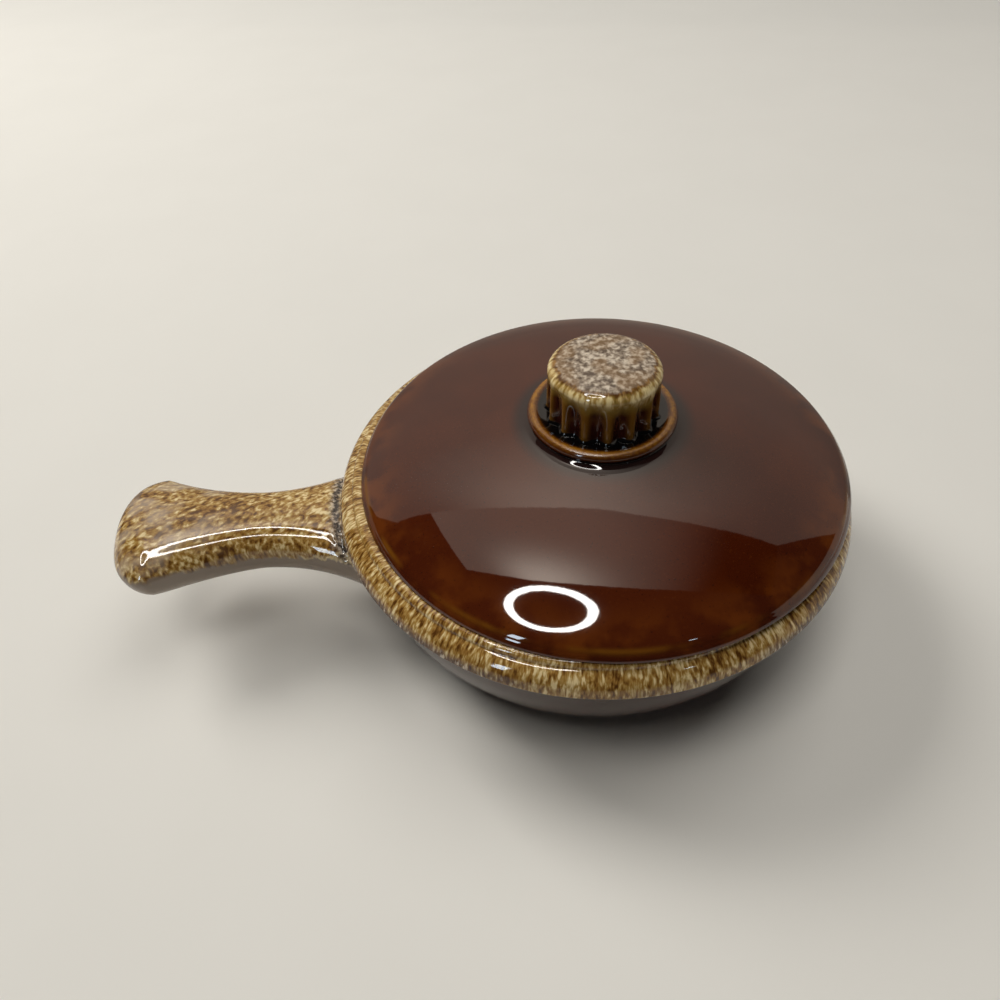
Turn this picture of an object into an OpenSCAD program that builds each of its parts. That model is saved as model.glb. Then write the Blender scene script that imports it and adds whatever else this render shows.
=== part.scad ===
// Individual casserole: a round dish with a stub handle, and a domed lid with a fluted knob.
// Millimetres. The dish stands on the plane z = 0 with its axis on Z, and the handle points along -X.

/* [Bowl] */
// Widest diameter, over the lower edge of the rim band
rim_d = 135; // [124:1:160]
// Height of the rim's flat top, where the lid rests
bowl_h = 42.2; // [40:0.2:50]
// Height of the rim band
band_h = 7; // [6:0.1:9]
// How far the band's lower edge stands out past its top edge
band_flare = 4; // [2.5:0.1:5]
// How far the wall stands in under the band
band_lap = 4; // [2.5:0.1:5]
// Width of the rim's flat top
seat_w = 4.5; // [4.2:0.1:5.5]
// Wall thickness under the band
wall_t = 5.5; // [4.5:0.1:6.5]
// Height of the upright wall under the band
neck_h = 6.5; // [4:0.1:8]
// Inward reach of the rounded lower wall
corner_w = 20.3; // [16:0.1:23]
// Height of the rounded lower wall above the table
corner_z = 2; // [1.6:0.1:3]
// Thickness of the bottom
bottom_t = 5.5; // [4.5:0.1:7]
// Outer diameter of the foot ring
foot_d = 94; // [88:1:100]
// Width of the foot ring's flat face
foot_w = 6; // [4:0.5:9]
// Depth of the recess inside the foot ring
foot_h = 1.6; // [1:0.1:1.8]

/* [Handle] */
// Distance from the dish's axis to the handle's free end
handle_reach = 127.5; // [118:0.5:140]
// Width where the handle meets the dish
handle_root_w = 36.5; // [30:0.5:40]
// Width at the waist
handle_waist_w = 21.5; // [18:0.5:26]
// Width of the free end
handle_end_w = 37.5; // [33:0.5:42]
// How far the waist lies from the free end
handle_waist_x = 38; // [30:0.5:42]
// Thickness at the waist
handle_t = 17; // [12:0.5:18]
// Thickness of the free end
handle_end_t = 17.5; // [13.5:0.5:19]
// How much deeper the handle's underside lies at the root
handle_drop = 5; // [0:0.5:6]
// How far the deeper underside runs out from the root
handle_drop_l = 30; // [18:1:36]
// How far the handle's top rises towards its free end
handle_rise = 3.8; // [0:0.2:5]
// How far the handle's top laps up over the band's lower edge
handle_lap = 0.4; // [0:0.1:2]
// Length of the free end's rounded corners, seen from above
handle_corner_l = 10.5; // [6:0.5:13]
// Width of the free end's rounded corners, seen from above
handle_corner_w = 14.5; // [6:0.5:15.5]
// Length of the free end's rounding over its top
handle_nose = 6.5; // [5:0.5:10]
// Length of the free end's rounding under its middle line
handle_keel = 14.5; // [8:0.5:18]

/* [Lid] */
// How far the lid's edge stands in from the rim's top edge
lid_step = 0.2; // [0:0.1:1.2]
// Height of the lid's upright edge
lid_edge_h = 1.2; // [0.9:0.1:2]
// Width of the lid's rounded shoulder
shoulder_w = 4.8; // [3:0.1:6]
// Height of the lid's rounded shoulder
shoulder_h = 3.2; // [2.4:0.1:5]
// Rise of the dome from the shoulder to its crown
dome_h = 10; // [7:0.1:13]
// Lid thickness
lid_t = 4.5; // [3.6:0.1:5.5]
// Width of the locating ring under the lid
ring_w = 4.5; // [3:0.1:6]
// Depth of the locating ring below the rim's top
ring_h = 5.6; // [4:0.1:8]
// Side play of the locating ring in the dish's mouth
lid_play = 3; // [2.6:0.1:3.6]
// How far the lid lies off the dish's axis, away from the handle
lid_shift = 2.5; // [0:0.1:2.5]

/* [Boss and knob] */
// Outer diameter of the bead ring
boss_d = 37.6; // [36:0.2:42]
// Thickness of the bead ring
bead_t = 3.2; // [2.6:0.1:3.6]
// Height of the bead ring's top above the dome's crown
boss_h = 3; // [2.2:0.1:4]
// Width of the sweep from the bead ring into the dome
boss_sweep = 3.6; // [1.6:0.1:4.4]
// Depth of the moat below the bead ring's top
moat_h = 0.5; // [0.2:0.1:1]
// Knob diameter over the ribs, at its foot
knob_d = 28; // [25:0.2:30]
// Knob diameter at the top of the ribs
knob_top_d = 27.2; // [23:0.2:28]
// Knob height above the moat
knob_h = 15; // [11:0.1:18]
// Radius of the knob's top edge
knob_round = 2.8; // [2:0.1:4]
// Rise of the knob's top face towards its centre
knob_crown = 0.6; // [0.2:0.1:1]
// Number of ribs round the knob
rib_count = 15; // [10:1:18]
// Depth of the grooves between the ribs
rib_depth = 1.5; // [0.8:0.1:2]

/* [Hidden] */
$fn = 96;
edge_r = 0.6;
neck_fillet = 1.8;
band_bulge = 1.4;
wall_lean = 1;
joint_gap = 0.1;
arc_n = 3;
curve_n = 12;
rim_r = rim_d / 2;
top_r = rim_r - band_flare;
band_z = bowl_h - band_h;
wall_r = rim_r - band_lap;
mouth_r = top_r - seat_w;
inner_r = min(wall_r - wall_t, mouth_r - wall_lean);
foot_r = foot_d / 2;
corner_c = [wall_r - corner_w, band_z - neck_h];
corner_b = corner_c[1] - corner_z;
floor_z = foot_h + bottom_t;
inner_c = [corner_c[0] - bottom_t + foot_h, corner_c[1] - foot_h];
lid_r = top_r - lid_step;
lid_edge_z = bowl_h + lid_edge_h;
dome_r = lid_r - shoulder_w;
dome_z = lid_edge_z + shoulder_h;
dome_radius = (dome_r * dome_r + dome_h * dome_h) / (2 * dome_h);
crown_z = dome_z + dome_h;
ring_r = mouth_r - lid_play;
ring_in = ring_r - ring_w;
boss_r = boss_d / 2;
bead_r = bead_t / 2;
bead_z = crown_z + boss_h - bead_r;
moat_z = crown_z + boss_h - moat_h;
moat_a = asin((moat_z - bead_z) / bead_r);
handle_top = band_z + handle_lap;
handle_start = inner_r - wall_t;
handle_root = wall_r;
handle_end = handle_reach - handle_corner_l;
handle_waist = handle_reach - handle_waist_x;
section_n = 28;
section_middle = 0.45;
crown_power = 2.1;
belly_power = 2.6;
keel_power = 1.6;
spread_power = 1.6;
end_n = 7;
end_left = 0.04;
knob_side_n = 5;
knob_edge_n = 4;
knob_face_n = 3;
rib_points = 8;
knob_n = rib_count * rib_points;

// Point lists: an arc of an ellipse, a bent line, and the dome's height at a radius
function arc(c, a, b, from, to, n) =
    [for (i = [0:n]) let (t = from + (to - from) * i / n) [c[0] + a * cos(t), c[1] + b * sin(t)]];
function bend(p, q, s, n) =
    [for (i = [0:n]) let (t = i / n) (1 - t) * (1 - t) * p + 2 * t * (1 - t) * q + t * t * s];
function dome_at(r, inset) =
    crown_z - dome_radius + sqrt(pow(dome_radius - inset, 2) - r * r);
function ease(t) = t * t * (3 - 2 * t);
function mix(a, b, t) = a + (b - a) * t;
function clip(t) = max(0, min(1, t));
function power(v, p) = sign(v) * pow(abs(v), p);

// Dish: the outside from the foot to the rim, then the inside and the recess
foot_at = clip((foot_r - corner_c[0]) / corner_w);
bowl_outside = concat(
    [[foot_r - edge_r, 0], [foot_r, edge_r]],
    arc(corner_c, corner_w, corner_b, asin(foot_at) - 90, 0, curve_n),
    arc([wall_r + neck_fillet, band_z - neck_fillet], neck_fillet, neck_fillet, 180, 90, arc_n),
    arc([rim_r - edge_r, band_z + edge_r], edge_r, edge_r, -90, 0, arc_n),
    bend([rim_r, band_z + edge_r + joint_gap],
         [(rim_r + top_r) / 2 + band_bulge, (band_z + bowl_h) / 2 + band_bulge / 2],
         [top_r, bowl_h - edge_r - joint_gap], curve_n / 2),
    arc([top_r - edge_r, bowl_h - edge_r], edge_r, edge_r, 0, 90, arc_n));
bowl_inside = concat(
    arc([mouth_r + edge_r, bowl_h - edge_r], edge_r, edge_r, 90, 180, arc_n),
    arc(inner_c, inner_r - inner_c[0], inner_c[1] - floor_z, 0, -90, curve_n),
    [[0, floor_z], [0, foot_h], [foot_r - foot_w - foot_h, foot_h], [foot_r - foot_w, 0]]);

module bowl()
{
    color([0.42, 0.2, 0.08])
    rotate_extrude()
    polygon(concat(bowl_outside, bowl_inside));
}

// Everything inside the dish's outer skin, which trims the handle's root
module dish_envelope()
{
    rotate_extrude()
    polygon(concat([[0, 0]], bowl_outside, [[0, bowl_h]]));
}

// Handle: rings of points along the handle, rounded off towards the free end
function along(s) = clip((s - handle_root) / (handle_end - handle_root));
function to_waist(s) = clip((s - handle_root) / (handle_waist - handle_root));
function past_waist(s) = clip((s - handle_waist) / (handle_end - handle_waist));
function root_share(s) = pow(1 - clip((s - handle_root) / handle_drop_l), 2);
function width_at(s) = s < handle_waist
    ? mix(handle_waist_w, handle_root_w, pow(1 - to_waist(s), 2))
    : mix(handle_waist_w, handle_end_w, pow(past_waist(s), spread_power));
function top_at(s) = handle_top + handle_rise * pow(along(s), 2);
function thick_at(s) = mix(handle_t, handle_end_t, ease(along(s))) + handle_drop * root_share(s);
// Share of the full size that is left at s where an end is rounded over a length
function left_at(s, length) =
    let (t = clip((s - handle_reach + length) / length)) max(end_left, sqrt(1 - t * t));
stations = concat(
    [handle_start],
    [for (i = [0:section_n / 2]) mix(handle_root, handle_end, 2 * i / section_n)],
    [for (i = [1:end_n]) handle_end + handle_corner_l * sin(90 * i / end_n)]);
function section(s) =
    let (w = width_at(s) / 2 - handle_corner_w * (1 - left_at(s, handle_corner_l)),
         z = top_at(s) - thick_at(s) * section_middle,
         up = (top_at(s) - z) * left_at(s, handle_nose),
         down = thick_at(s) * (1 - section_middle) * left_at(s, handle_keel),
         low_power = mix(keel_power, belly_power, left_at(s, handle_keel)))
    [for (i = [0:section_n - 1])
        let (t = 360 * i / section_n,
             p = 2 / (sin(t) < 0 ? low_power : crown_power),
             h = sin(t) < 0 ? down : up)
        [-s, w * power(cos(t), p), z + h * power(sin(t), p)]];
// Triangles between rings of n points each, with a flat cap on both ends
function ring_faces(rings, n) = concat(
    [for (k = [0:rings - 2], i = [0:n - 1]) [k * n + i, k * n + (i + 1) % n, (k + 1) * n + i]],
    [for (k = [0:rings - 2], i = [0:n - 1])
        [k * n + (i + 1) % n, (k + 1) * n + (i + 1) % n, (k + 1) * n + i]],
    [[for (i = [n - 1:-1:0]) i]],
    [[for (i = [0:n - 1]) (rings - 1) * n + i]]);

module handle()
{
    color([0.62, 0.42, 0.18])
    difference() {
        polyhedron(points = [for (s = stations) each section(s)],
                   faces = ring_faces(len(stations), section_n), convexity = 4);
        dish_envelope();
    }
}

// Lid: moat, bead ring, dome, shoulder and edge, then the underside with the locating ring
boss_foot = boss_r + boss_sweep;
lid_section = concat(
    [[0, moat_z]],
    arc([boss_r - bead_r, bead_z], bead_r, bead_r, 180 - moat_a, 0, 2 * arc_n),
    bend([boss_r, bead_z - joint_gap], [boss_r, dome_at(boss_r, 0)],
         [boss_foot, dome_at(boss_foot, 0)], 2 * arc_n),
    [for (i = [1:curve_n]) let (r = mix(boss_foot, dome_r, i / curve_n)) [r, dome_at(r, 0)]],
    bend([dome_r + joint_gap, dome_z - joint_gap * dome_r / dome_radius],
         [lid_r, dome_z - shoulder_w * dome_r / dome_radius], [lid_r, lid_edge_z], 2 * arc_n),
    arc([lid_r - edge_r, bowl_h + edge_r], edge_r, edge_r, 0, -90, arc_n),
    arc([ring_r + edge_r, bowl_h - edge_r], edge_r, edge_r, 90, 180, arc_n),
    arc([ring_r - edge_r, bowl_h - ring_h + edge_r], edge_r, edge_r, 0, -90, arc_n),
    arc([ring_in + edge_r, bowl_h - ring_h + edge_r], edge_r, edge_r, -90, -180, arc_n),
    [for (i = [curve_n:-1:0]) let (r = ring_in * i / curve_n) [r, dome_at(r, lid_t)]]);

module lid()
{
    color([0.3, 0.11, 0.05])
    translate([lid_shift, 0, 0])
    rotate_extrude()
    polygon(lid_section);
}

// Knob: ribs that fade out at the rounded top edge, one of them straight away from the handle
knob_edge_z = knob_h - knob_crown - knob_round;
knob_face_r = knob_top_d / 2 - knob_round;
knob_levels = concat(
    [for (i = [0:knob_side_n]) let (t = i / knob_side_n)
        [mix(knob_d, knob_top_d, t * t) / 2, knob_edge_z * t, 1 - pow(t, 3)]],
    [for (i = [1:knob_edge_n]) let (a = 90 * i / knob_edge_n)
        [knob_face_r + knob_round * cos(a), knob_edge_z + knob_round * sin(a), 0]],
    [for (i = [1:knob_face_n]) let (t = 1 - i / (knob_face_n + 1))
        [knob_face_r * t, knob_h - knob_crown * t * t, 0]]);
function rib_ring(level) =
    [for (i = [0:knob_n - 1])
        let (a = 360 * i / knob_n,
             r = level[0] - rib_depth * level[2] * (1 - cos(rib_count * a)) / 2)
        [r * cos(a), r * sin(a), level[1]]];

module knob()
{
    color([0.5, 0.32, 0.1])
    translate([lid_shift, 0, moat_z])
    polyhedron(points = [for (l = knob_levels) each rib_ring(l)],
               faces = ring_faces(len(knob_levels), knob_n), convexity = 4);
}

bowl();
handle();
lid();
knob();
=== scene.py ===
import math

import bmesh
import bpy
import numpy as np
from mathutils import Matrix, Vector, noise


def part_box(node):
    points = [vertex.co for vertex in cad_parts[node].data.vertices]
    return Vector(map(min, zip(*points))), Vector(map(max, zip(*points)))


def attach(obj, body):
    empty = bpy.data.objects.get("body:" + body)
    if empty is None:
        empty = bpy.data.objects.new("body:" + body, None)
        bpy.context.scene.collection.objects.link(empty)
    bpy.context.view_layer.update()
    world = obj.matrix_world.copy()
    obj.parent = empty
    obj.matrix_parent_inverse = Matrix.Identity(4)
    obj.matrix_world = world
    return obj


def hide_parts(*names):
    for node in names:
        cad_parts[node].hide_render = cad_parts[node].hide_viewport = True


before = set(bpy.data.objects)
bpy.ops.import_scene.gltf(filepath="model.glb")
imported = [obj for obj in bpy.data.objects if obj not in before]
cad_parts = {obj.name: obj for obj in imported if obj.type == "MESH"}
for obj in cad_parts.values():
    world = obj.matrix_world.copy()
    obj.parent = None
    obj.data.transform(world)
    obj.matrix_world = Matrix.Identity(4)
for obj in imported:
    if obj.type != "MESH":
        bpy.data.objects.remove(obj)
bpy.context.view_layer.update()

# Individual casserole in drip-glazed stoneware: dish, stub handle, domed lid and fluted knob.
# The object's sizes are in millimetres, and a mesh is scaled to metres when it is made.
MM = 0.001

# Points on the meshes
AROUND = 288
EDGE_POINTS = 10
BEND_POINTS = 14
WIDE_POINTS = 30
LINE_STEP = 1.0
SAME_POINT = 1e-6


def node_box(name):
    """A node's lowest and highest corners in millimetres."""
    low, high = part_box(name)
    return low / MM, high / MM


_, bowl_high = node_box("bowl")
handle_low, handle_high = node_box("handle")
lid_low, lid_high = node_box("lid")
knob_low, knob_high = node_box("knob")

# Dish
EDGE_R = 0.7
RIM_EASE = 1.5  # round of the rim's outer top edge
BAND_H = 7.0
BAND_FLARE = 4.0  # how far the band spreads from its top to its lower edge
BAND_BULGE = 1.4
BAND_LAP = 4.0  # how far the band stands out over the wall
SEAT_W = 4.5  # flat top of the rim, where the lid rests
WALL_T = 5.5
NECK_H = 6.5
NECK_FILLET = 1.8
CORNER_W = 20.3  # width of the rounded lower wall
CORNER_Z = 2.0  # height at which its curve would end
BOTTOM_T = 5.5
FOOT_R = 47.0
FOOT_W = 6.0
FOOT_H = 1.6
FOOT_CHAMFER_ANGLE = -150
rim_r = bowl_high.x
bowl_h = bowl_high.z
top_r = rim_r - BAND_FLARE
band_z = bowl_h - BAND_H
wall_r = rim_r - BAND_LAP
mouth_r = top_r - SEAT_W
inner_r = wall_r - WALL_T
floor_z = FOOT_H + BOTTOM_T
corner_x = wall_r - CORNER_W
corner_z = band_z - NECK_H

# Handle
ROOT_W = 36.5
WAIST_W = 21.5
WAIST_X = 38.0  # from the free end back to the waist
HANDLE_T = 17.0
END_T = 17.5
DROP = 5.0  # extra depth at the root
DROP_L = 30.0  # length over which that runs out
RISE = 3.8  # rise of the top towards the free end
END_CORNER_L = 10.5
END_CORNER_W = 14.5
END_NOSE = 6.5  # length over which the end is rounded above
END_KEEL = 14.5  # length over which it is rounded below
TIP_TURN = math.radians(89)  # just short of the tip, so that the last faces have an area
SECTION_MIDDLE = 0.33  # share of the thickness above the widest line
END_MIDDLE = 0.44
CROWN_POWER = 1.78  # a power of 2 gives an ellipse, and more a squarer section
BELLY_POWER = 2.8
KEEL_POWER = 1.6
SPREAD_POWER = 1.6
HANDLE_AROUND = 120
ROOT_SHARE, ROOT_RINGS = 0.25, 44
MIDDLE_SHARE, MIDDLE_RINGS = 0.85, 46
TIP_RINGS = 24
END_W = handle_high.y - handle_low.y
handle_reach = -handle_low.x
handle_top = handle_high.z - RISE
handle_end = handle_reach - END_CORNER_L
handle_waist = handle_reach - WAIST_X

# Crease at the handle's joint, and the flecks on the handle
CREASE_AT = 0.6  # outside the rim band
CREASE_W = 1.6
CREASE_DEPTH = 0.8
CREASE_PITS = 0.5
CREASE_SIDES = (-0.1, 0.5)  # sine of the turn round the section over which it fades in
FLECK_RISE = 3.4  # the flecks' lower limit rises away from the waist
FLECK_DROP = 2.0  # and lies this far under the widest line
FLECK_SPAN = 20.0
FLECK_SLANT = math.radians(30)
FLECK_LENGTHS = (0.62, 0.4)  # scales along the slant and downwards, where less is longer

# Lid
SHOULDER_W = 4.8
SHOULDER_H = 3.2
LIP_H = 1.2
LIP_R = 0.4
LID_T = 4.5
LID_GAP = 0.02
RING_W = 4.5
RING_PLAY = 3.0  # between the locating ring and the dish's mouth
BEAD_R = 1.6
BOSS_R = 18.8
POOL_ANGLE = 115  # where the bead leaves the pooled glaze, in degrees
POOL_W = 2.5  # from the bead's middle to the flat of the moat
CREVICE_ANGLE = -38  # where the bead meets the skirt, in degrees
SKIRT_W = 1.9  # hollow run of glaze from the bead to the dome
SKIRT_SAG = 0.17
TOE_W = 0.5  # half length of the bend at the skirt's foot
FACET_W = 1.5
FACET_H = 2.2
FACET_SWELL = 0.18
ARRIS_W = 1.0  # half length of the bend at the facet's top
DOME_POINTS = 60
UNDER_POINTS = 40
lid_x = (lid_low.x + lid_high.x) / 2
lid_r = (lid_high.x - lid_low.x) / 2
dome_r = lid_r - SHOULDER_W
dome_z = bowl_h + LIP_H + SHOULDER_H
arris_r = lid_r - FACET_W
seat_z = bowl_h + LID_GAP
ring_r = mouth_r - RING_PLAY
ring_z = lid_low.z
bead_x = BOSS_R - BEAD_R
bead_z = lid_high.z - BEAD_R
moat_z = knob_low.z

# Where the lid's glaze changes
THIN_SHIFT = 0.25
THIN_W = 0.85
WORN_W = 0.5
WARM_W = 8.0
POOL_EDGE = (0.7, 1.3)
HALO_REACH = (5.5, 1.5)
BARE_EDGE = (0.6, 1.8)
BARE_H = 0.3

# Knob
RIBS = 15
RIB_POINTS = 20
RIB_DEPTH = 1.5
RIB_FADE_POWER = 3
KNOB_TOP_R = 13.6
KNOB_ROUND = 2.8
KNOB_EASE = 5.0
KNOB_CROWN = 0.6
KNOB_CENTRE_R = 0.4
KNOB_SIDE_POWER = 1.4
KNOB_SIDE_RINGS = 34
KNOB_EDGE_RINGS = 18
KNOB_TOP_RINGS = 18
KNOB_FLOW = 0.4
MENISCUS_W = 0.7  # glaze that climbs the knob's foot
MENISCUS_H = 1.1
knob_r = knob_high.x - lid_x
knob_h = knob_high.z - knob_low.z

# Glaze drip over the knob's edge
DRIP_T = 0.2
DRIP_LENGTH = 5.2
DRIP_SWING = 2.6
DRIP_WAVES = 1.9
DRIP_SEED = 4.2
DRIP_HEM = (1.4, -1.0)  # past the drip's length, where it ends
DRIP_START = (-3.5, -1.0)  # on the top face, where it begins


# Outlines
def arc(centre, radii, start, stop, count=WIDE_POINTS):
    """Points on an ellipse's arc, from one angle in degrees to another."""
    turn = np.radians(np.linspace(start, stop, count))
    return np.stack([centre[0] + radii[0] * np.cos(turn), centre[1] + radii[1] * np.sin(turn)], 1)


def edge(x, z, radius, start, stop):
    """Points on a small round edge about its centre."""
    return arc((x, z), (radius, radius), start, stop, EDGE_POINTS)


def bend(start, corner, end, count=BEND_POINTS):
    """Points on a curve that leans from start over a corner to end."""
    start, corner, end = (np.array(p) for p in (start, corner, end))
    t = np.linspace(0, 1, count)[:, None]
    return (1 - t) ** 2 * start + 2 * t * (1 - t) * corner + t ** 2 * end


def outline(*runs):
    """One line through several runs of points, with a point every step or closer."""
    points = np.concatenate([np.atleast_2d(run) for run in runs])
    line = [points[0]]
    for p, q in zip(points, points[1:]):
        length = np.linalg.norm(q - p)
        if length > SAME_POINT:
            count = math.ceil(length / LINE_STEP)
            line.extend(p + (q - p) * k / count for k in range(1, count + 1))
    return np.array(line)


def smooth(value, low, high):
    """A smooth step from 0 at low to 1 at high."""
    t = np.clip((np.asarray(value, float) - low) / (high - low), 0, 1)
    return t * t * (3 - 2 * t)


def hump(value, centre, width):
    """A soft bump of height 1 at centre."""
    return np.exp(-((np.asarray(value, float) - centre) / width) ** 2)


def distance_along(line):
    """Distance along a line of points from its first point."""
    return np.concatenate([[0], np.cumsum(np.linalg.norm(np.diff(line, axis=0), axis=1))])


# Meshes
def skin(name, rings, values):
    """A closed mesh through rings of points, with a pole at both ends and values for its shader."""
    rings = np.asarray(rings)
    count, around = rings.shape[:2]
    vertices = np.concatenate([rings.reshape(-1, 3), rings[[0, -1]].mean(axis=1)]) * MM
    first_pole = count * around
    last_pole = first_pole + 1
    last_ring = first_pole - around
    faces = []
    for i in range(around):
        j = (i + 1) % around
        faces.append((first_pole, j, i))
        faces.append((last_pole, last_ring + i, last_ring + j))
        for base in range(0, last_ring, around):
            faces.append((base + i, base + j, base + around + j, base + around + i))
    mesh = bpy.data.meshes.new(name)
    mesh.from_pydata(vertices.tolist(), [], faces)
    for key, array in values.items():
        array = np.asarray(array, float)
        poles = array[[0, -1]].mean(axis=1)
        flat = np.concatenate([array.reshape(first_pole, -1), poles.reshape(2, -1)])
        kind, field = ("FLOAT", "value") if flat.shape[1] == 1 else ("FLOAT_VECTOR", "vector")
        mesh.attributes.new(key, kind, "POINT").data.foreach_set(field, flat.ravel())
    work = bmesh.new()
    work.from_mesh(mesh)
    bmesh.ops.recalc_face_normals(work, faces=work.faces)
    work.to_mesh(mesh)
    work.free()
    mesh.shade_smooth()
    piece = bpy.data.objects.new(name, mesh)
    bpy.context.scene.collection.objects.link(piece)
    return piece


def lathe(name, line, centre_x, values):
    """A form turned round an upright axis. Each value holds one number for each point of the line."""
    turn = np.linspace(0, 2 * np.pi, AROUND, endpoint=False)
    size = (len(line), AROUND)
    radius, height = line[:, :1], line[:, 1:]
    rings = np.stack([
        centre_x + radius * np.cos(turn),
        radius * np.sin(turn),
        np.broadcast_to(height, size)], axis=2)
    spread = {key: np.broadcast_to(np.asarray(v)[:, None], size) for key, v in values.items()}
    spread["flow"] = np.stack([
        np.broadcast_to(rim_r * np.cos(turn), size),
        np.broadcast_to(rim_r * np.sin(turn), size),
        np.broadcast_to(distance_along(line)[:, None], size)], axis=2)
    return skin(name, rings, spread)


def make_bowl():
    """The dish, from the middle of its inside over the rim and down to the middle of its foot."""
    inner_corner = (corner_x - BOTTOM_T / 2, corner_z - FOOT_H)
    inner_reach = (inner_r - inner_corner[0], inner_corner[1] - floor_z)
    foot_angle = -math.degrees(math.acos((FOOT_R - corner_x) / CORNER_W))
    foot_in = FOOT_R - FOOT_W
    inside = outline(
        [(EDGE_R, floor_z)],
        arc(inner_corner, inner_reach, -90, 0),
        edge(mouth_r + EDGE_R, bowl_h - EDGE_R, EDGE_R, 180, 90),
        edge(top_r - RIM_EASE, bowl_h - RIM_EASE, RIM_EASE, 90, 0))
    band_middle = ((rim_r + top_r) / 2 + BAND_BULGE, (band_z + bowl_h) / 2 + BAND_BULGE / 2)
    outside = outline(
        bend((top_r, bowl_h - RIM_EASE), band_middle, (rim_r, band_z + EDGE_R), WIDE_POINTS),
        edge(rim_r - EDGE_R, band_z + EDGE_R, EDGE_R, 0, -90),
        edge(wall_r + NECK_FILLET, band_z - NECK_FILLET, NECK_FILLET, 90, 180),
        arc((corner_x, corner_z), (CORNER_W, corner_z - CORNER_Z), 0, foot_angle),
        edge(FOOT_R - EDGE_R, EDGE_R, EDGE_R, 0, -90),
        edge(foot_in + EDGE_R, EDGE_R, EDGE_R, -90, FOOT_CHAMFER_ANGLE),
        [(foot_in - FOOT_H, FOOT_H), (EDGE_R, FOOT_H)])
    line = np.concatenate([inside, outside[1:]])
    run = distance_along(line) - distance_along(inside)[-1]
    return lathe("bowl_dish", line, 0.0, {"run": run})


def dome_height(radius):
    """Height of the lid's dome, which curves more towards its edge and flares up to the boss."""
    middle_radius, edge_turn, edge_at, edge_power = 205.0, 0.19, 60.0, 5
    flare_turn, flare_w = 0.12, 3.5
    steps = 800
    r = np.linspace(0, lid_r, steps)
    flare = np.where(r > BOSS_R, flare_turn * np.exp((BOSS_R - r) / flare_w), 0)
    slope = np.tan(r / middle_radius + edge_turn * (r / edge_at) ** edge_power + flare)
    fall = np.concatenate([[0], np.cumsum((slope[1:] + slope[:-1]) / 2 * np.diff(r))])
    return dome_z + np.interp(dome_r, r, fall) - np.interp(radius, r, fall)


def on_dome(radius):
    """Points on the dome's outline."""
    return np.stack([radius, dome_height(radius)], axis=-1)


def boss_outline():
    """The moat, the bead ring and the hollow skirt that runs out into the dome."""
    bead = arc((bead_x, bead_z), (BEAD_R, BEAD_R), POOL_ANGLE, CREVICE_ANGLE)
    pool_slope = math.tan(math.radians(POOL_ANGLE - 90))
    pool_r = bead[0, 0] - (bead[0, 1] - moat_z) / pool_slope
    crevice = bead[-1]
    foot = on_dome(crevice[0] + SKIRT_W)
    skirt_middle = (crevice + foot) / 2 - (0, SKIRT_SAG)
    skirt_end = foot + 2 * TOE_W / SKIRT_W * (skirt_middle - foot)
    return outline(
        [(EDGE_R, moat_z)],
        bend((bead_x - POOL_W, moat_z), (pool_r, moat_z), bead[0]),
        bead,
        bend(crevice, skirt_middle, skirt_end),
        bend(skirt_end, foot, on_dome(foot[0] + TOE_W)))


def edge_outline():
    """The arris at the dome's edge, the facet below it and the lip that rests on the dish."""
    arris = on_dome(arris_r)
    facet_end = arris + (FACET_W, -FACET_H)
    facet_way = (facet_end - arris) / np.linalg.norm(facet_end - arris)
    facet_start = arris + ARRIS_W * facet_way
    swell = FACET_SWELL * np.array([-facet_way[1], facet_way[0]])
    return outline(
        bend(on_dome(arris_r - ARRIS_W), arris, facet_start),
        bend(facet_start, (facet_start + facet_end) / 2 + swell, facet_end),
        edge(lid_r - LIP_R, seat_z + LIP_R, LIP_R, 0, -90))


def make_lid():
    """The lid, from the moat over the bead, dome and lip to the middle of its underside."""
    boss = boss_outline()
    dome = np.linspace(boss[-1, 0], arris_r - ARRIS_W, DOME_POINTS)
    under = np.linspace(ring_r - RING_W, EDGE_R, UNDER_POINTS)
    top = outline(boss, on_dome(dome), edge_outline())
    below = outline(
        top[-1],
        edge(ring_r + EDGE_R, seat_z - EDGE_R, EDGE_R, 90, 180),
        edge(ring_r - EDGE_R, ring_z + EDGE_R, EDGE_R, 0, -90),
        edge(ring_r - RING_W + EDGE_R, ring_z + EDGE_R, EDGE_R, -90, -180),
        on_dome(under) - (0, LID_T))
    line = np.concatenate([top, below[1:]])
    radius, height = line.T
    top_side = np.arange(len(line)) < len(top)
    outside_boss = top_side * (height < bead_z)
    on_lip = (height < seat_z + BARE_H) * (radius < lid_r - LIP_R)
    return lathe("lid_dome", line, lid_x, {
        "thin": hump(radius, bead_x + THIN_SHIFT, THIN_W) * (height > bead_z),
        "arris": hump(radius, arris_r, WORN_W) * top_side,
        "warm": smooth(radius, dome_r - WARM_W, arris_r) * top_side,
        "pool": smooth(radius, bead_x - POOL_EDGE[0], bead_x - POOL_EDGE[1]) * top_side,
        "halo": smooth(radius, BOSS_R + HALO_REACH[0], BOSS_R + HALO_REACH[1]) * outside_boss,
        "bare": smooth(radius, ring_r + BARE_EDGE[0], ring_r + BARE_EDGE[1]) * on_lip})


def wall_middle(height):
    """Radius of the middle of the dish's wall at a height."""
    sunk = np.clip((corner_z - np.asarray(height)) / (corner_z - CORNER_Z), 0, 1)
    return wall_r - CORNER_W * (1 - np.sqrt(1 - sunk ** 2)) - WALL_T / 2


def left_at(s, length):
    """Share of the full size that is left where the handle's end is rounded over a length."""
    past = np.clip((s - handle_reach + length) / length, 0, 1)
    return np.sqrt(1 - past ** 2)


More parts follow.
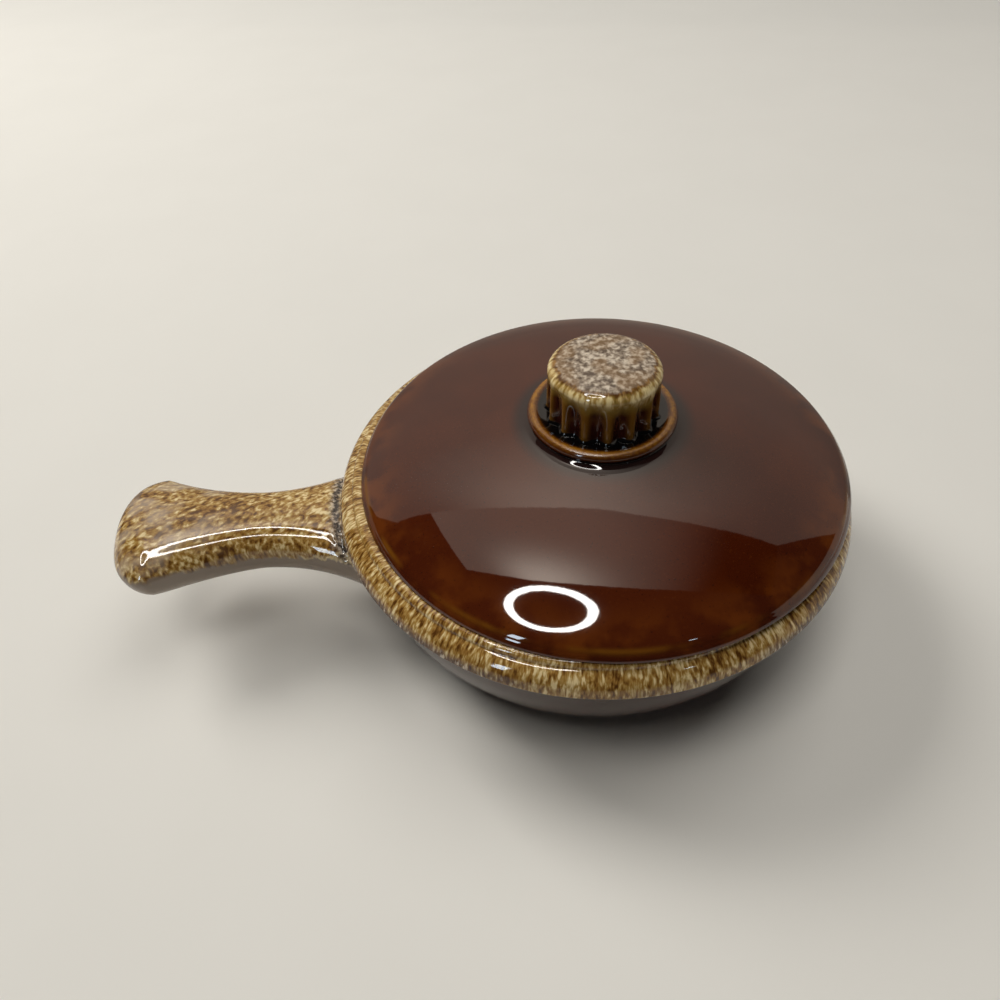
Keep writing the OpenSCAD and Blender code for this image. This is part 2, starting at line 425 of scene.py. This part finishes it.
def handle_section(s, turn):
    """Side way and height of points on the handle's skin, and the height of its widest line."""
    to_waist = np.clip((s - wall_r) / (handle_waist - wall_r), 0, 1)
    past_waist = np.clip((s - handle_waist) / (handle_end - handle_waist), 0, 1)
    along = np.clip((s - wall_r) / (handle_end - wall_r), 0, 1)
    root = np.clip(1 - (s - wall_r) / DROP_L, 0, 1) ** 2
    root_spread = (ROOT_W - WAIST_W) * (1 - to_waist) ** 2
    end_spread = (END_W - WAIST_W) * past_waist ** SPREAD_POWER
    width = WAIST_W + root_spread + end_spread
    thick = HANDLE_T + (END_T - HANDLE_T) * smooth(along, 0, 1) + DROP * root
    upper = SECTION_MIDDLE + (END_MIDDLE - SECTION_MIDDLE) * smooth(past_waist, 0, 1)
    middle = handle_top + RISE * along ** 2 - thick * upper
    keel = left_at(s, END_KEEL)
    low = np.sin(turn) < 0
    power = 2 / np.where(low, KEEL_POWER + (BELLY_POWER - KEEL_POWER) * keel, CROWN_POWER)
    reach = np.where(low, thick * (1 - upper) * keel, thick * upper * left_at(s, END_NOSE))
    half_w = width / 2 - END_CORNER_W * (1 - left_at(s, END_CORNER_L))
    y = half_w * np.sign(np.cos(turn)) * np.abs(np.cos(turn)) ** power
    z = middle + reach * np.sign(np.sin(turn)) * np.abs(np.sin(turn)) ** power
    return y, z, middle


def make_handle():
    """The stub handle, from inside the dish's wall to its rounded free end."""
    turn = np.linspace(0, 2 * np.pi, HANDLE_AROUND, endpoint=False)
    tip = np.sin(np.linspace(0, TIP_TURN, TIP_RINGS)[1:])
    share = np.concatenate([
        np.linspace(0, ROOT_SHARE, ROOT_RINGS),
        np.linspace(ROOT_SHARE, MIDDLE_SHARE, MIDDLE_RINGS)[1:],
        MIDDLE_SHARE + (1 - MIDDLE_SHARE) * tip])[:, None]
    root_y, root_z, _ = handle_section(np.full_like(turn, wall_r), turn)
    start = np.sqrt(wall_middle(root_z) ** 2 - root_y ** 2)
    s = start + (handle_reach - start) * share
    turn = np.broadcast_to(turn, s.shape)
    y, z, middle = handle_section(s, turn)
    from_band = np.hypot(s, y) - rim_r
    crease = hump(from_band, CREASE_AT, CREASE_W) * smooth(np.sin(turn), *CREASE_SIDES)
    spots = zip(s.ravel(), y.ravel())
    pits = np.array([noise.noise(Vector((*spot, 0.0))) for spot in spots]).reshape(s.shape)
    z = z - crease * (CREASE_DEPTH + CREASE_PITS * pits)
    limit = middle - FLECK_DROP + FLECK_RISE * np.clip(((s - handle_waist) / FLECK_SPAN) ** 2, 0, 1)
    flow = np.stack([
        FLECK_LENGTHS[0] * (s * math.cos(FLECK_SLANT) - y * math.sin(FLECK_SLANT)),
        s * math.sin(FLECK_SLANT) + y * math.cos(FLECK_SLANT),
        FLECK_LENGTHS[1] * z], axis=2)
    return skin("stub_handle", np.stack([-s, y, z], axis=2), {
        "flow": flow,
        "below": limit - z,
        "crease": from_band,
        "crown": np.sin(turn),
        "free": s - handle_waist})


def make_knob():
    """The fluted knob, from its foot in the moat to the middle of its top face."""
    edge_z = knob_h - KNOB_CROWN - KNOB_ROUND
    face_r = KNOB_TOP_R - KNOB_EASE
    up = np.linspace(0, 1, KNOB_SIDE_RINGS) ** KNOB_SIDE_POWER
    side = np.stack([knob_r + (KNOB_TOP_R - knob_r) * up ** 2, edge_z * up], 1)
    top_edge = arc((face_r, edge_z), (KNOB_EASE, KNOB_ROUND), 0, 90, KNOB_EDGE_RINGS)
    face = np.linspace(face_r, KNOB_CENTRE_R, KNOB_TOP_RINGS)[1:]
    crown = knob_h - KNOB_CROWN * (face / face_r) ** 2
    line = np.concatenate([side, top_edge[1:], np.stack([face, crown], 1)])
    height = line[:, 1:]
    run = distance_along(line)
    over_edge = np.interp(KNOB_ROUND - KNOB_TOP_R, -top_edge[:, 0], distance_along(top_edge))
    drop = (over_edge + run[len(side) - 1] - run)[:, None]
    on_side = (np.arange(len(line)) < len(side))[:, None]
    fade = on_side * (1 - np.clip(height / edge_z, 0, 1) ** RIB_FADE_POWER)
    meniscus = on_side * MENISCUS_W * np.clip(1 - height / MENISCUS_H, 0, 1) ** 2
    angle = np.linspace(0, 2 * np.pi, RIBS * RIB_POINTS, endpoint=False)
    groove = (1 - np.cos(RIBS * angle)) / 2
    waves = [Vector((DRIP_WAVES * math.cos(a), DRIP_WAVES * math.sin(a), DRIP_SEED)) for a in angle]
    drip_length = np.array([DRIP_LENGTH + DRIP_SWING * noise.noise(wave) for wave in waves])
    hem = smooth(drop, drip_length + DRIP_HEM[0], drip_length + DRIP_HEM[1])
    drip = hem * smooth(drop, *DRIP_START)
    radius = line[:, :1] - RIB_DEPTH * fade * groove + DRIP_T * drip + meniscus
    size = radius.shape
    rings = np.stack([
        lid_x + radius * np.cos(angle),
        radius * np.sin(angle),
        np.broadcast_to(moat_z + height, size)], axis=2)
    flow = np.stack([
        np.broadcast_to(knob_r * np.cos(angle), size),
        np.broadcast_to(knob_r * np.sin(angle), size),
        np.broadcast_to(KNOB_FLOW * drop, size)], axis=2)
    return skin("fluted_knob", rings, {
        "flow": flow,
        "drop": np.broadcast_to(drop, size),
        "over": drop - drip_length,
        "foot": np.broadcast_to(height, size),
        "groove": np.sqrt(fade) * groove})


# Materials
NOISE_MIDDLE = 0.5


class Surface:
    """A material under construction. Most calls add one node and give its output."""

    def __init__(self, name, roughness=0.5, ior=1.5):
        self.material = bpy.data.materials.new(name)
        self.material.use_nodes = True
        self.tree = self.material.node_tree
        self.shader = self.tree.nodes["Principled BSDF"]
        self.put("Roughness", roughness)
        self.put("IOR", ior)

    def feed(self, socket, value):
        """Links an output to a socket, or sets the socket to a plain value."""
        if isinstance(value, bpy.types.NodeSocket):
            self.tree.links.new(value, socket)
        else:
            socket.default_value = value

    def put(self, name, value):
        """Feeds one of the shader's own sockets."""
        self.feed(self.shader.inputs[name], value)

    def node(self, kind, inputs, output=0, **settings):
        made = self.tree.nodes.new(kind)
        for key, value in settings.items():
            setattr(made, key, value)
        for key, value in inputs.items():
            self.feed(made.inputs[key], value)
        return made.outputs[output]

    def number(self, name):
        return self.node("ShaderNodeAttribute", {}, "Fac", attribute_name=name)

    def vector(self, name):
        return self.node("ShaderNodeAttribute", {}, "Vector", attribute_name=name)

    def place(self):
        """The point's place on the piece in millimetres."""
        spot = self.node("ShaderNodeTexCoord", {}, "Object")
        return self.node("ShaderNodeVectorMath", {0: spot, "Scale": 1 / MM}, operation="SCALE")

    def stretch(self, vector, scale):
        return self.node("ShaderNodeVectorMath", {0: vector, 1: scale}, operation="MULTIPLY")

    def noise(self, vector, scale, detail=3.0, roughness=0.5):
        return self.node("ShaderNodeTexNoise", {
            "Vector": vector, "Scale": scale, "Detail": detail, "Roughness": roughness}, "Fac")

    def wander(self, vector, scale):
        """A noise that swings about 0."""
        return self.minus(self.noise(vector, scale), NOISE_MIDDLE)

    def warp(self, vector, scale, amount):
        """The vector pushed about by a noise."""
        push = self.node("ShaderNodeTexNoise", {
            "Vector": vector, "Scale": scale, "Detail": 2.0}, "Color")
        push = self.node("ShaderNodeVectorMath", {0: push, 1: (NOISE_MIDDLE,) * 3}, operation="SUBTRACT")
        push = self.node("ShaderNodeVectorMath", {0: push, "Scale": amount}, operation="SCALE")
        return self.node("ShaderNodeVectorMath", {0: vector, 1: push}, operation="ADD")

    def cells(self, vector, scale):
        return self.node("ShaderNodeTexVoronoi", {"Vector": vector, "Scale": scale}, "Distance")

    def math(self, operation, a, b):
        return self.node("ShaderNodeMath", {0: a, 1: b}, operation=operation)

    def plus(self, a, b):
        return self.math("ADD", a, b)

    def minus(self, a, b):
        return self.math("SUBTRACT", a, b)

    def times(self, a, b):
        return self.math("MULTIPLY", a, b)

    def span(self, value, low, high):
        """A smooth step from 0 at low to 1 at high."""
        return self.node("ShaderNodeMapRange", {
            "Value": value, "From Min": low, "From Max": high}, interpolation_type="SMOOTHSTEP")

    def near(self, value, centre, width):
        """1 where the value is close to a centre, falling to 0 at the width."""
        off = self.math("ABSOLUTE", self.minus(value, centre), 0.0)
        return self.span(off, width, 0.0)

    def patches(self, vector, scale, low, high, detail=3.0):
        """Soft patches where a noise rises from low to high."""
        return self.span(self.noise(vector, scale, detail), low, high)

    def mix(self, factor, low, high):
        return self.node("ShaderNodeMix", {0: factor, 6: low, 7: high}, 2, data_type="RGBA")

    def ramp(self, value, *stops):
        """A colour for each value, through stops of a place and a colour."""
        made = self.tree.nodes.new("ShaderNodeValToRGB")
        elements = made.color_ramp.elements
        while len(elements) < len(stops):
            elements.new(0.5)
        for element, (place, colour) in zip(elements, stops):
            element.position = place
            element.color = colour
        self.feed(made.inputs["Fac"], value)
        return made.outputs["Color"]

    def coats(self, colour, *coats):
        """Colours laid over one another, each with a mask and the share of it that covers."""
        for mask, cover, coat in coats:
            colour = self.mix(self.times(mask, cover), colour, coat)
        return colour

    def bump(self, height, distance):
        """Relief of the given height in millimetres."""
        self.put("Normal", self.node("ShaderNodeBump", {
            "Height": height, "Strength": 1.0, "Distance": distance * MM}))

    def finish(self, colour):
        self.put("Base Color", colour)
        return self.material


CHESTNUT = (0.068, 0.0115, 0.0022, 1.0)
CHESTNUT_DARK = (0.05, 0.0075, 0.0016, 1.0)
CHESTNUT_WARM = (0.11, 0.026, 0.004, 1.0)
RUSSET = (0.13, 0.03, 0.0035, 1.0)
AMBER = (0.19, 0.068, 0.005, 1.0)
HONEY = (0.33, 0.142, 0.008, 1.0)
TOFFEE = (0.21, 0.098, 0.014, 1.0)
PLUM = (0.013, 0.008, 0.008, 1.0)
POOL = (0.0022, 0.002, 0.0024, 1.0)
BARK = (0.1, 0.038, 0.007, 1.0)
GOLDEN = (0.3, 0.15, 0.033, 1.0)
TAN = (0.45, 0.28, 0.08, 1.0)
CREAM = (0.82, 0.66, 0.36, 1.0)
IVORY = (0.68, 0.58, 0.46, 1.0)
ASH = (0.3, 0.232, 0.168, 1.0)
TAUPE = (0.1, 0.066, 0.043, 1.0)
DRAB = (0.22, 0.17, 0.13, 1.0)
STONE = (0.29, 0.225, 0.17, 1.0)
MAROON = (0.05, 0.011, 0.007, 1.0)
BROWN = (0.075, 0.05, 0.035, 1.0)
BUFF = (0.52, 0.41, 0.28, 1.0)
SOOT = (0.04, 0.032, 0.028, 1.0)
OLIVE = (0.27, 0.17, 0.035, 1.0)
STRAW = (0.86, 0.7, 0.36, 1.0)
GLAZE_ROUGHNESS, GLAZE_IOR = 0.05, 1.55
LID_ROUGHNESS, LID_IOR = 0.035, 1.6
WHOLE = 1.0


def drip_colour(g, flow, shift, fine=1.0):
    """Golden brown glaze, broken along its flow into cream grains. A higher shift makes it paler."""
    drift_scale, drift_reach = 0.35, 1.3
    grain_scale, grain_r, grain_share = 0.8, 0.52, 0.26
    streak_scale, streak_share = 0.9, 0.85
    patch_scale, patch_share = 0.11, 0.3
    dim = 0.08
    drift = g.warp(flow, drift_scale * fine, drift_reach / fine)
    grains = g.times(g.minus(grain_r, g.cells(drift, grain_scale * fine)), grain_share)
    streaks = g.times(g.noise(drift, streak_scale * fine, detail=2.5, roughness=0.55), streak_share)
    patches = g.times(g.noise(flow, patch_scale, detail=2.0), patch_share)
    value = g.plus(g.plus(grains, streaks), g.plus(patches, shift - dim))
    return g.ramp(value, (0.34, BARK), (0.46, GOLDEN), (0.55, TAN), (0.68, CREAM))


def bowl_glaze():
    """Flecks on the band and the rim's top, brown below them, chestnut inside and a bare foot."""
    # Places along the run, in millimetres, which is 0 at the top of the band's outer face
    inside_edge = (-5.6, -4.8)
    flecks_start = (-5.2, -4.4)
    flecks_end = (10.4, 9.4)
    dark_start = (5.0, 7.0)
    hem_at, hem_w = 7.5, 0.7
    ragged_by = 2.0
    fleck_length, fleck_shift, fleck_fine = 0.34, 0.015, 1.45
    foot_edge = (1.2, 0.5)
    relief = 0.008
    g = Surface("bowl_glaze", GLAZE_ROUGHNESS, GLAZE_IOR)
    run = g.number("run")
    round_way = g.vector("flow")
    flow = g.stretch(round_way, (1.0, 1.0, fleck_length))
    place = g.place()
    height = g.node("ShaderNodeSeparateXYZ", {0: place}, 2)
    ragged = g.plus(run, g.times(g.noise(flow, scale=0.5), ragged_by))
    outside = g.mix(g.patches(place, scale=0.05, low=0.35, high=0.65), BROWN, MAROON)
    inside = g.mix(g.patches(place, scale=0.04, low=0.35, high=0.65), CHESTNUT_DARK, CHESTNUT)
    body = g.mix(g.span(run, *inside_edge), inside, outside)
    dark_parts = g.patches(round_way, scale=0.03, low=0.42, high=0.58, detail=2.0)
    dark = g.times(dark_parts, g.span(ragged, *dark_start))
    specks = g.ramp(g.noise(flow, scale=1.3, detail=2.0), (0.42, MAROON), (0.55, BARK), (0.66, IVORY))
    band = g.coats(drip_colour(g, flow, fleck_shift, fleck_fine), (dark, 0.85, specks))
    colour = g.coats(
        body,
        (g.times(g.span(ragged, *flecks_end), g.span(run, *flecks_start)), WHOLE, band),
        (g.near(run, hem_at, hem_w), 0.9, CREAM),
        (g.span(height, *foot_edge), WHOLE, BUFF))
    g.bump(g.noise(place, scale=0.3, detail=2.0), relief)
    return g.finish(colour)


def handle_glaze():
    """Flecks above, streaks down the sides, plain grey-brown below and broken glaze at the joint."""
    # Places in millimetres from the flecks' lower limit, the rim band and the waist
    limit_reach, joint_reach = 5.0, 4.0
    joint_at, joint_w = 1.6, 2.8
    crack_at, crack_w = 1.2, 1.3
    plain_edge = (-0.6, 1.0)
    hem_at, hem_w = 0.2, 0.9
    hem_end = (-8.0, -18.0)
    grey_start = (2.0, 20.0)
    # Places round the section, where 1 is its top
    upper_side, streaked_side = (-0.1, 0.4), (0.72, 0.5)
    streak_length = 0.3
    relief = 0.01
    g = Surface("handle_glaze", GLAZE_ROUGHNESS, GLAZE_IOR)
    flow = g.vector("flow")
    place = g.place()
    crown = g.number("crown")
    free = g.number("free")
    wander = g.wander(flow, scale=0.6)
    below = g.plus(g.number("below"), g.times(wander, limit_reach))
    off_band = g.plus(g.number("crease"), g.times(wander, joint_reach))
    streaks = drip_colour(g, g.stretch(place, (1.0, 1.0, streak_length)), 0.0)
    greyed = g.times(g.patches(flow, scale=0.14, low=0.46, high=0.62), g.span(free, *grey_start))
    upper = g.span(crown, *upper_side)
    joint = g.times(g.near(off_band, joint_at, joint_w), upper)
    crack = g.times(g.near(off_band, crack_at, crack_w), upper)
    broken = g.noise(place, scale=1.0, detail=2.0, roughness=0.6)
    grit = g.ramp(broken, (0.4, SOOT), (0.5, DRAB), (0.62, IVORY))
    hem = g.times(g.near(below, hem_at, hem_w), g.span(free, *hem_end))
    colour = g.coats(
        drip_colour(g, flow, 0.0),
        (g.span(crown, *streaked_side), WHOLE, streaks),
        (greyed, 0.4, IVORY),
        (g.span(below, *plain_edge), WHOLE, STONE),
        (hem, 0.8, CREAM),
        (joint, WHOLE, grit),
        (g.times(crack, g.patches(place, scale=0.7, low=0.42, high=0.58, detail=2.0)), WHOLE, SOOT))
    g.bump(g.noise(place, scale=0.35, detail=2.0), relief)
    return g.finish(colour)


def lid_glaze():
    """Deep chestnut, warmer at the edge, black in the moat and amber where it runs thin on the bead."""
    bead_roughness, bead_relief = 0.3, 4.0
    relief = 0.006
    g = Surface("lid_glaze", LID_ROUGHNESS, LID_IOR)
    place = g.place()
    thin = g.number("thin")
    body = g.mix(g.patches(place, scale=0.035, low=0.34, high=0.66, detail=4.0), CHESTNUT_DARK, CHESTNUT)
    speck = g.noise(place, scale=1.6, detail=2.0)
    worn = g.patches(g.vector("flow"), scale=0.06, low=0.4, high=0.62)
    clouds = g.patches(place, scale=0.12, low=0.38, high=0.62)
    grain = g.noise(place, scale=1.2)
    colour = g.coats(
        body,
        (g.times(g.number("warm"), clouds), 0.85, RUSSET),
        (g.span(speck, low=0.6, high=0.74), 0.3, CHESTNUT_WARM),
        (g.span(speck, low=0.36, high=0.26), 0.4, POOL),
        (g.times(g.number("arris"), worn), 0.8, AMBER),
        (g.number("halo"), 0.85, PLUM),
        (g.number("pool"), WHOLE, POOL),
        (thin, WHOLE, g.mix(g.span(grain, low=0.36, high=0.64), AMBER, HONEY)),
        (g.number("bare"), WHOLE, BUFF))
    g.put("Roughness", g.plus(LID_ROUGHNESS, g.times(thin, bead_roughness)))
    grained = g.times(g.times(thin, grain), bead_relief)
    g.bump(g.plus(g.noise(place, scale=0.25, detail=2.0), grained), relief)
    return g.finish(colour)


def knob_glaze():
    """Mottled top with a golden edge, straw drips over toffee ribs and dark grooves."""
    # Places in millimetres below the drips' ends, below the top's edge and above the foot
    drip_reach, edge_reach = 2.5, 2.6
    olive_edge, straw_edge = (3.4, 0.4), (1.2, -2.0)
    gold_edge, top_edge = (2.2, 1.2), (1.1, 0.3)
    foot_edge = (1.0, 0.4)
    relief = 0.006
    g = Surface("knob_glaze", GLAZE_ROUGHNESS, GLAZE_IOR)
    place = g.place()
    flow = g.vector("flow")
    wander = g.wander(flow, scale=0.7)
    over = g.plus(g.number("over"), g.times(wander, drip_reach))
    ragged = g.plus(g.number("drop"), g.times(wander, edge_reach))
    side = g.ramp(g.number("groove"), (0.0, TOFFEE), (0.3, BARK), (0.62, MAROON))
    straw = g.ramp(g.noise(flow, scale=0.9, detail=2.5), (0.32, OLIVE), (0.43, TAN), (0.57, STRAW))
    gold = g.mix(g.patches(flow, scale=0.9, low=0.36, high=0.62), BARK, GOLDEN)
    drift = g.warp(place, scale=0.5, amount=0.8)
    mottle = g.noise(drift, scale=0.75, detail=1.8, roughness=0.55)
    plain_top = g.ramp(mottle, (0.36, TAUPE), (0.5, ASH), (0.66, IVORY))
    tint = g.patches(place, scale=0.16, low=0.46, high=0.62, detail=2.0)
    top = g.coats(plain_top, (tint, 0.36, GOLDEN))
    colour = g.coats(
        side,
        (g.span(over, *olive_edge), WHOLE, OLIVE),
        (g.span(over, *straw_edge), WHOLE, straw),
        (g.span(ragged, *gold_edge), WHOLE, gold),
        (g.span(ragged, *top_edge), WHOLE, top),
        (g.span(g.number("foot"), *foot_edge), WHOLE, POOL))
    g.bump(g.noise(place, scale=0.5, detail=2.0), relief)
    return g.finish(colour)


# Studio, in metres
PALE = (0.81, 0.795, 0.75, 1.0)
PALE_DIM = (0.8, 0.785, 0.74, 1.0)
BLACK = (0.0, 0.0, 0.0, 1.0)
DIM = (0.015, 0.015, 0.015, 1.0)
LAMP_WHITE = (1.0, 0.97, 0.92, 1.0)
SKY_WHITE = (0.72, 0.87, 1.0, 1.0)
WALL_WARM = (1.0, 0.88, 0.75, 1.0)
FLOOR_REACH = 3.0
CEILING_Z = 1.33
RIGHT_END = 1.3
RING_AT = Vector((-0.29, -0.226, CEILING_Z))
RING_REACH = (0.262, 0.214)
RING_TUBE = (0.031, 0.024)


def glow(name, colour, strength=None):
    """An emitting material. Without a strength, the mesh's level gives it point by point."""
    g = Surface(name)
    g.put("Specular IOR Level", 0.0)
    g.put("Emission Color", colour)
    g.put("Emission Strength", g.number("level") if strength is None else strength)
    return g.finish(BLACK)


def set_up(name, vertices, faces, material, levels=None):
    """An object of the studio set, which isn't part of the casserole."""
    mesh = bpy.data.meshes.new(name)
    mesh.from_pydata([tuple(v) for v in vertices], [], faces)
    if levels is not None:
        mesh.attributes.new("level", "FLOAT", "POINT").data.foreach_set("value", np.ravel(levels))
    mesh.materials.append(material)
    mesh.shade_smooth()
    thing = bpy.data.objects.new(name, mesh)
    bpy.context.scene.collection.objects.link(thing)
    return thing


def reflected_only(thing):
    """Shows a panel in the glaze, and nowhere else."""
    thing.visible_camera = False
    thing.visible_diffuse = False
    thing.visible_shadow = False


def grid_faces(rows, columns):
    """Faces between the points of a grid that is filled row by row."""
    starts = [r * columns + c for r in range(rows - 1) for c in range(columns - 1)]
    return [(p, p + 1, p + columns + 1, p + columns) for p in starts]


def bent_sheet(name, radius, height, turn, material):
    """An upright sheet bent round the object, at the given angles."""
    vertices = [(radius * math.cos(a), radius * math.sin(a), z) for z in (0.0, height) for a in turn]
    return set_up(name, vertices, grid_faces(2, len(turn)), material)


def surround():
    """A pale wall far round the object, which other views see behind it."""
    radius, height, points, strength = 1.1, 2.1, 73, 0.5
    turn = np.linspace(0, 2 * np.pi, points)
    sheet = bent_sheet("surround", radius, height, turn, glow("surround_light", LAMP_WHITE, strength))
    sheet.visible_diffuse = False
    sheet.visible_glossy = False
    sheet.visible_shadow = False


def low_board():
    """A low dim board round the back, that shows in the lid's far edge instead of the bright floor."""
    radius, height, strength = 0.15, 0.048, 0.26
    first_angle, last_angle, points = 5, 172, 41
    turn = np.radians(np.linspace(first_angle, last_angle, points))
    material = glow("board_light", WALL_WARM, strength)
    reflected_only(bent_sheet("low_board", radius, height, turn, material))


def wall_line(x):
    """Where the soft panel stands behind the object."""
    middle, slant = 0.57, -0.27
    return middle + slant * x


def wall_panel():
    """A tall soft panel behind the object, with a brighter middle above, that shows in the lid."""
    left_end, columns = -1.5, 29
    level, right_loss, right_part = 0.54, 0.12, (0.1, 0.8)
    foot_share, foot_top = 0.5, 0.4
    lit_level, lit_x, lit_w = 1.5, 0.0, 0.48
    xs = np.linspace(left_end, RIGHT_END, columns)
    heights = np.array([0.0, 0.1, 0.3, 0.6, 0.85, 1.1, CEILING_Z])
    vertices = [(x, wall_line(x), z) for z in heights for x in xs]
    rising = foot_share + (1 - foot_share) * smooth(heights, 0.0, foot_top)
    plain = np.outer(rising, level - right_loss * smooth(xs, *right_part))
    lit = np.outer(smooth(heights, foot_top, CEILING_Z), hump(xs, lit_x, lit_w))
    faces = grid_faces(len(heights), columns)
    material = glow("wall_light", WALL_WARM)
    reflected_only(set_up("wall_panel", vertices, faces, material, plain + lit_level * lit))


def ceiling_panel():
    """A soft strip over the object from the wall panel forward, brighter by the ring lamp."""
    left_end, columns, rows = -0.89, 47, 13
    front_x, front_y, front_slant = -0.72, 0.16, -0.236
    lean, lean_w = 0.17, 0.6
    level, lit_level = 0.88, 3.6
    lit_x, lit_w, lit_depth = -0.23, 0.25, 0.35
    fade_x, fade_slant = 0.9, 0.2
    x, share = np.meshgrid(np.linspace(left_end, RIGHT_END, columns), np.linspace(0, 1, rows))
    back = wall_line(x)
    front = front_y + front_slant * (x - front_x)
    leaned = x + lean * share * np.maximum(0, 1 - (x - left_end) / lean_w)
    vertices = np.stack([leaned, back + (front - back) * share, np.full_like(x, CEILING_Z)], axis=2)
    lit = hump(x, lit_x, lit_w) * hump(share, 1, lit_depth)
    fade = 1 - smooth(x, 0.0, fade_x - fade_slant * share)
    faces = grid_faces(rows, columns)
    material = glow("ceiling_light", WALL_WARM)
    levels = (level + lit_level * lit) * fade
    reflected_only(set_up("ceiling_panel", vertices.reshape(-1, 3), faces, material, levels))


def side_panel():
    """A low pale panel to the right, that shows in the lid's edge."""
    x, near_y, far_y, height, strength = 1.1, -0.7, 0.25, 0.45, 0.45
    vertices = [(x, y, z) for z in (0.0, height) for y in (near_y, far_y)]
    material = glow("side_light", WALL_WARM, strength)
    reflected_only(set_up("side_panel", vertices, grid_faces(2, 2), material))


def ring_lamp():
    """A ring-shaped lamp over the object."""
    long_way, short_way, strength = 96, 16, 24.0
    vertices = []
    faces = []
    for i in range(long_way):
        a = 2 * math.pi * i / long_way
        for j in range(short_way):
            b = 2 * math.pi * j / short_way
            x, y = (reach + tube * math.cos(b) for reach, tube in zip(RING_REACH, RING_TUBE))
            off = Vector((x * math.cos(a), y * math.sin(a), RING_TUBE[0] * math.sin(b)))
            vertices.append(RING_AT + off)
            p = i * short_way
            q = (i + 1) % long_way * short_way
            k = (j + 1) % short_way
            faces.append((p + j, q + j, q + k, p + k))
    reflected_only(set_up("ring_lamp", vertices, faces, glow("ring_light", LAMP_WHITE, strength)))


def window(name, heading, height, size):
    """A small bluish pane far off in front, that shows in the glaze as a window would."""
    distance, strength = 1.5, 13.0
    turn, rise = math.radians(heading), math.radians(height)
    way = Vector((math.cos(turn) * math.cos(rise), math.sin(turn) * math.cos(rise), math.sin(rise)))
    side = Vector((-math.sin(turn), math.cos(turn), 0)) * size[0] / 2
    up = way.cross(side).normalized() * size[1] / 2
    middle = way * distance
    corners = [middle - side - up, middle + side - up, middle + side + up, middle - side + up]
    reflected_only(set_up(name, corners, [(0, 1, 2, 3)], glow(name + "_light", SKY_WHITE, strength)))


def soft_lamp(name, place, size, energy):
    """A square lamp that lights the object and the floor without showing in the glaze."""
    lamp = bpy.data.lights.new(name, "AREA")
    lamp.energy = energy
    lamp.size = size
    lamp.color = LAMP_WHITE[:3]
    thing = bpy.data.objects.new(name, lamp)
    thing.location = place
    thing.rotation_euler = (-thing.location).to_track_quat("-Z", "Y").to_euler()
    thing.visible_glossy = False
    bpy.context.scene.collection.objects.link(thing)


def floor_finish():
    """Pale matt board with a faint unevenness."""
    g = Surface("pale_board", roughness=0.6, ior=1.3)
    g.put("Specular IOR Level", 0.25)
    return g.finish(g.mix(g.patches(g.place(), scale=0.02, low=0.3, high=0.7), PALE, PALE_DIM))


def build_studio():
    """Floor, surround, panels that show in the glaze, and three soft lamps."""
    reach = FLOOR_REACH
    corners = [(-reach, -reach, 0), (reach, -reach, 0), (reach, reach, 0), (-reach, reach, 0)]
    set_up("floor", corners, [(0, 1, 2, 3)], floor_finish())
    surround()
    wall_panel()
    ceiling_panel()
    ring_lamp()
    window("window", heading=-132, height=31, size=(0.12, 0.46))
    window("far_window", heading=-55, height=48, size=(0.06, 0.05))
    low_board()
    side_panel()
    soft_lamp("top", place=RING_AT, size=0.5, energy=4.3)
    soft_lamp("key", place=(-0.8, 0.75, 1.0), size=0.6, energy=12.2)
    soft_lamp("fill", place=(0.5, 0.5, 1.6), size=1.2, energy=9.0)
    world = bpy.data.worlds.new("dim_room")
    world.use_nodes = True
    world.node_tree.nodes["Background"].inputs["Color"].default_value = DIM
    bpy.context.scene.world = world


# Camera at the photograph's angle
CAMERA_AT = Vector((-33.35, -143.08, 181.0)) * MM
HEADING = math.radians(3.5)
PITCH = math.radians(46.56)
ROLL = math.radians(-3.7)
FOCAL_PIXELS = 751
IMAGE_PIXELS = 1000
SENSOR_MM = 36
CLIP_START = 0.01


def add_camera():
    ahead = Vector((math.sin(HEADING), math.cos(HEADING), 0))
    level = Vector((math.cos(HEADING), -math.sin(HEADING), 0))
    forward = ahead * math.cos(PITCH) - Vector((0, 0, math.sin(PITCH)))
    upright = level.cross(forward)
    right = level * math.cos(ROLL) + upright * math.sin(ROLL)
    up = upright * math.cos(ROLL) - level * math.sin(ROLL)
    data = bpy.data.cameras.new("camera")
    data.sensor_fit = "HORIZONTAL"
    data.sensor_width = SENSOR_MM
    data.lens = SENSOR_MM * FOCAL_PIXELS / IMAGE_PIXELS
    data.clip_start = CLIP_START
    camera = bpy.data.objects.new("camera", data)
    turned = Matrix((right, up, -forward)).transposed().to_4x4()
    camera.matrix_world = Matrix.Translation(CAMERA_AT) @ turned
    bpy.context.scene.collection.objects.link(camera)
    bpy.context.scene.camera = camera


def dress(piece, node, body, material):
    """Gives a piece its glaze and its place on a body, and hides the node's imported part that it stands
    in for.
    """
    piece.data.materials.append(material)
    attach(piece, body)
    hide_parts(node)


bpy.context.scene.view_settings.view_transform = "Standard"
add_camera()
build_studio()
dress(make_bowl(), "bowl", "casserole", bowl_glaze())
dress(make_handle(), "handle", "casserole", handle_glaze())
dress(make_lid(), "lid", "lid", lid_glaze())
dress(make_knob(), "knob", "lid", knob_glaze())
